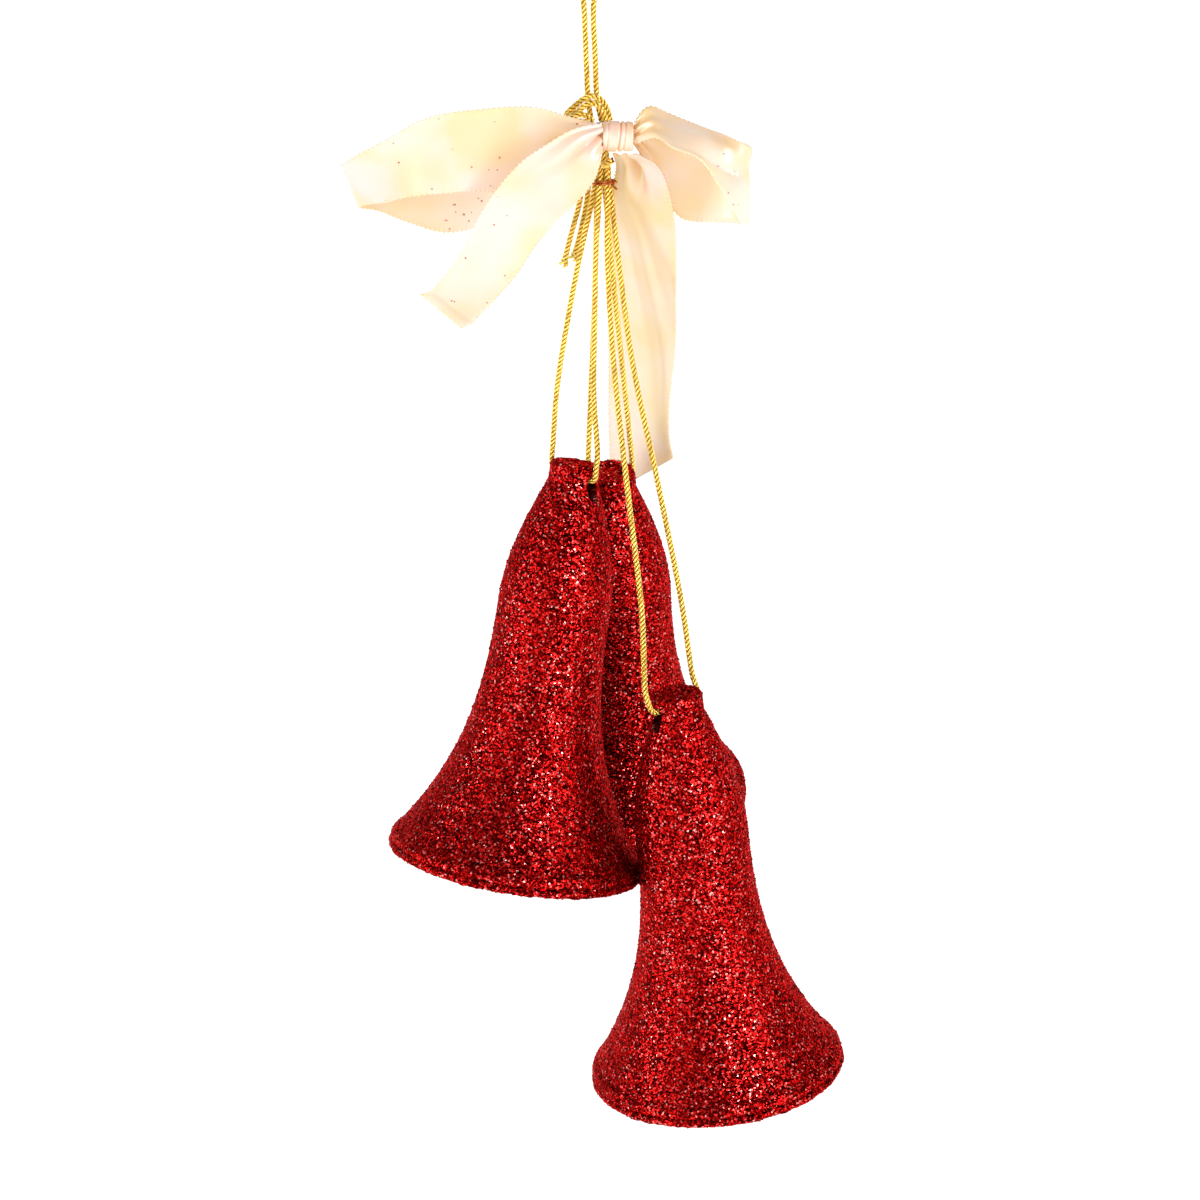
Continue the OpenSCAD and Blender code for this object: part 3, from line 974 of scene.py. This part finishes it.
def right_loop_folds(along, share, total):
    """A soft ridge from the lower edge up to the fold, and a hollow above it."""
    ridge_line = 0.75 - 0.03 * (along - 14)
    in_front = np.clip((along - 6) / 8, 0, 1) * np.clip((34 - along) / 8, 0, 1)
    ridge = 1.3 * in_front * np.exp(-np.abs(share - ridge_line) / 0.14)
    hollow = 0.7 * in_front * swell(share, ridge_line - 0.32, 0.2)
    behind = 0.8 * swell(along + 6 * share, 50, 6)
    return hollow - ridge - behind + gathers(along, share) + gathers(total - along, share)


def left_tail_folds(along, share, total):
    """A crease that starts in the wrap and dies away, and a cut end that curls back."""
    crease = 1.7 * np.clip(1 - along / 17, 0, 1) * np.exp(-np.abs(share - 0.5) / 0.08)
    crown = 0.9 * swell(share, 0.26, 0.14) * swell(along, 9, 7)
    hollow = 0.9 * swell(along - 6 * (share - 0.5), 22, 8)
    curl = 1.3 * np.clip((along - total + 2.4) / 2.4, 0, 1) ** 1.5
    return crease - crown + hollow + curl + 0.5 * gathers(along, share)


def right_tail_folds(along, share, total):
    """A rounded pleat under the wrap, then one long soft wave."""
    started = np.clip((along - 1.5) / 4, 0, 1)
    pleat = 2.4 * started * swell(share, 0.5, 0.1) * swell(along, 7, 5)
    sides = 1.2 * (swell(share, 0.27, 0.13) + swell(share, 0.74, 0.13)) * swell(along, 7, 6)
    wave = 0.5 * np.sin(2 * np.pi * (along - 12 + 5 * share) / 36)
    wave = wave * np.clip((along - 12) / 10, 0, 1)
    return pleat - started * sides + wave + 0.5 * gathers(along, share, 4)


def rim_faces(rows, columns):
    """Faces round the rim of a sheet, between its front grid and its back grid."""
    total = rows * columns
    rim = list(range(columns))
    rim += [r * columns + columns - 1 for r in range(1, rows)]
    rim += [total - 1 - c for c in range(1, columns)]
    rim += [r * columns for r in range(rows - 2, 0, -1)]
    return [[a, b, b + total, a + total] for a, b in zip(rim, rim[1:] + rim[:1])]


def ribbon(name, node, stations, fold):
    """A satin ribbon through pairs of edge points, with ribs and picots along both edges.

    fold(distance along, share across, length) is how far the cloth stands out of that surface.
    Gives the points of its middle surface and their normals.
    """
    pairs = np.array(stations, float).reshape(len(stations), 6)
    line = smooth_line(pairs)
    line, along = evenly(line, PICOT_PITCH / 5, (line[:, :3] + line[:, 3:]) / 2)
    share = across_ribbon()
    rows, columns = len(line), len(share)
    surface = line[:, None, :3] + share[None, :, None] * (line[:, None, 3:] - line[:, None, :3])
    out = surface_normals(surface)
    surface = surface + fold(along[:, None], share[None, :], along[-1])[..., None] * out
    out = surface_normals(surface)
    edge = np.clip(1 - np.minimum(share, 1 - share) * RIBBON_WIDTH / SELVEDGE, 0, 1) > 0.01
    rib = 0.5 + 0.5 * np.cos(2 * np.pi * along / PICOT_PITCH)
    half = RIBBON_THICKNESS / 2 + RIB_HEIGHT * rib[:, None] * edge[None, :]
    across = unit(surface[:, -1] - surface[:, 0])
    surface[:, 0] -= PICOT_REACH * rib[:, None] * across
    surface[:, -1] += PICOT_REACH * rib[:, None] * across
    front = (surface + half[..., None] * out).reshape(-1, 3)
    back = (surface - half[..., None] * out).reshape(-1, 3)
    grid = grid_faces(rows, columns, False)
    faces = grid[:, ::-1].tolist() + (grid + rows * columns).tolist() + rim_faces(rows, columns)
    obj = mesh_object(name, np.vstack([front, back]), faces, [SATIN])
    point_values(obj, "edge", np.tile(edge.astype(float), 2 * rows))
    point_map(
        obj,
        "Ribbon",
        np.tile(np.repeat(along, columns), 2),
        np.tile(share * RIBBON_WIDTH, 2 * rows),
    )
    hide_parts(node)
    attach(obj, "hanger")
    return surface, out


def surface_normals(surface):
    lengthwise = np.gradient(surface, axis=0)
    crosswise = np.gradient(surface, axis=1)
    return unit(np.cross(crosswise, lengthwise))


ribbon_surfaces = {}
for name, node, stations, fold in (
    ("satin_left_loop", "bow_left_loop", LEFT_LOOP, left_loop_folds),
    ("satin_right_loop", "bow_right_loop", RIGHT_LOOP, right_loop_folds),
    ("satin_left_tail", "bow_left_tail", LEFT_TAIL, left_tail_folds),
    ("satin_right_tail", "bow_right_tail", RIGHT_TAIL, right_tail_folds),
):
    ribbon_surfaces[name] = ribbon(name, node, stations, fold)


def satin_wrap():
    """The middle of the bow: the ribbon passed round it in soft folds."""
    rows, columns = 96, 49
    round_it = 2 * np.pi * np.arange(rows) / rows
    share = np.linspace(0, 1, columns)
    turn_angle, place = np.meshgrid(round_it, share, indexing="ij")
    lean = 0.05 * np.sin(turn_angle + 0.6)
    crease = sum(
        depth * swell(place - slant * lean, middle, 0.03) for middle, depth, slant in WRAP_CREASES
    )
    puff = 0.9 + 0.1 * np.sin(np.pi * place) ** 0.5
    high = WRAP_HEIGHT / 2 * puff - 0.6 * crease
    deep = WRAP_DEPTH / 2 * puff - 0.6 * crease
    points = np.stack(
        [
            WRAP_CENTRE[0] + WRAP_LENGTH * (place - 0.5),
            WRAP_CENTRE[1] - deep * np.cos(turn_angle),
            WRAP_CENTRE[2] + high * np.sin(turn_angle),
        ],
        axis=2,
    ).reshape(-1, 3)
    r, c = np.meshgrid(np.arange(rows), np.arange(columns - 1), indexing="ij")
    r, c = r.ravel(), c.ravel()
    after = (r + 1) % rows
    faces = np.stack(
        [r * columns + c, r * columns + c + 1, after * columns + c + 1, after * columns + c], axis=1
    ).tolist()
    faces.append([r * columns for r in range(rows)])
    faces.append([r * columns + columns - 1 for r in range(rows - 1, -1, -1)])
    obj = mesh_object("satin_wrap", points, faces, [SATIN])
    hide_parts("bow_wrap")
    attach(obj, "hanger")


satin_wrap()

# glitter shed on the ribbon: piece, then first and last share along it and across it, count
SHED = [
    ("satin_left_loop", 0.05, 0.4, 0.1, 0.95, 15),
    ("satin_left_loop", 0.66, 0.74, 0.55, 0.95, 8),
    ("satin_left_loop", 0.6, 0.8, 0.5, 0.95, 5),
    ("satin_right_loop", 0.3, 0.45, 0.4, 0.95, 6),
    ("satin_left_tail", 0.25, 0.95, 0.1, 0.9, 8),
    ("satin_right_tail", 0.1, 0.9, 0.1, 0.9, 4),
]


def shed_glitter():
    """Single flakes lying on the side of the ribbon that faces the front."""
    rng = np.random.default_rng(90)
    parts = []
    for name, first, last, low, high, count in SHED:
        surface, out = ribbon_surfaces[name]
        rows, columns = surface.shape[:2]
        for _ in range(count):
            r = int(rng.uniform(first, last) * rows)
            c = int(rng.uniform(low, high) * columns)
            facing = -np.sign(out[r, c, 1]) * out[r, c]
            centre = surface[r, c] + (RIBBON_THICKNESS / 2 + SHED_GAP) * facing
            half = FLAKE_THICKNESS / 2 * facing
            line = np.stack([centre - half, centre + half])
            parts.append(tube_mesh(line, rng.uniform(*SHED_RADII), 6))
    obj = mesh_object("shed_glitter", *joined(parts), [SHED_FLAKE], smooth=False)
    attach(obj, "hanger")


shed_glitter()

# ----------------------------------------------------------------------------- stage and light

FLOOR_CORNERS = [(-1, -1), (1, -1), (1, 1), (-1, 1)]

floor = mesh_object(
    "floor",
    [(x * FLOOR_SIZE, y * FLOOR_SIZE, FLOOR_BELOW) for x, y in FLOOR_CORNERS],
    [[0, 1, 2, 3]],
    [pale_floor()],
    smooth=False,
)


def softbox(name, azimuth, elevation, width, height, watts):
    """A tall soft light, aimed at the middle of the ornament."""
    data = bpy.data.lights.new(name, "AREA")
    data.shape = "RECTANGLE"
    data.size = width * MM
    data.size_y = height * MM
    data.energy = watts
    aimed(bpy.data.objects.new(name, data), turned_from_front(azimuth, elevation, LIGHT_DISTANCE))


softbox("key", 52, 16, 160, 900, 10)
softbox("side", -50, 14, 120, 900, 7)


def studio_sky():
    """A pale sky, brightest along the horizon and dimmer overhead."""
    world = bpy.data.worlds.new("studio")
    world.use_nodes = True
    nodes, links = world.node_tree.nodes, world.node_tree.links
    direction = nodes.new("ShaderNodeTexCoord")
    height = nodes.new("ShaderNodeSeparateXYZ")
    links.new(direction.outputs["Generated"], height.inputs[0])
    ramp = nodes.new("ShaderNodeValToRGB")
    links.new(height.outputs["Z"], ramp.inputs["Fac"])
    for element, (place, grey) in zip(ramp.color_ramp.elements, SKY):
        element.position = place
        element.color = (grey, grey, grey, 1)
    links.new(ramp.outputs["Color"], nodes["Background"].inputs["Color"])
    bpy.context.scene.world = world


studio_sky()
bpy.context.scene.view_settings.view_transform = "Standard"
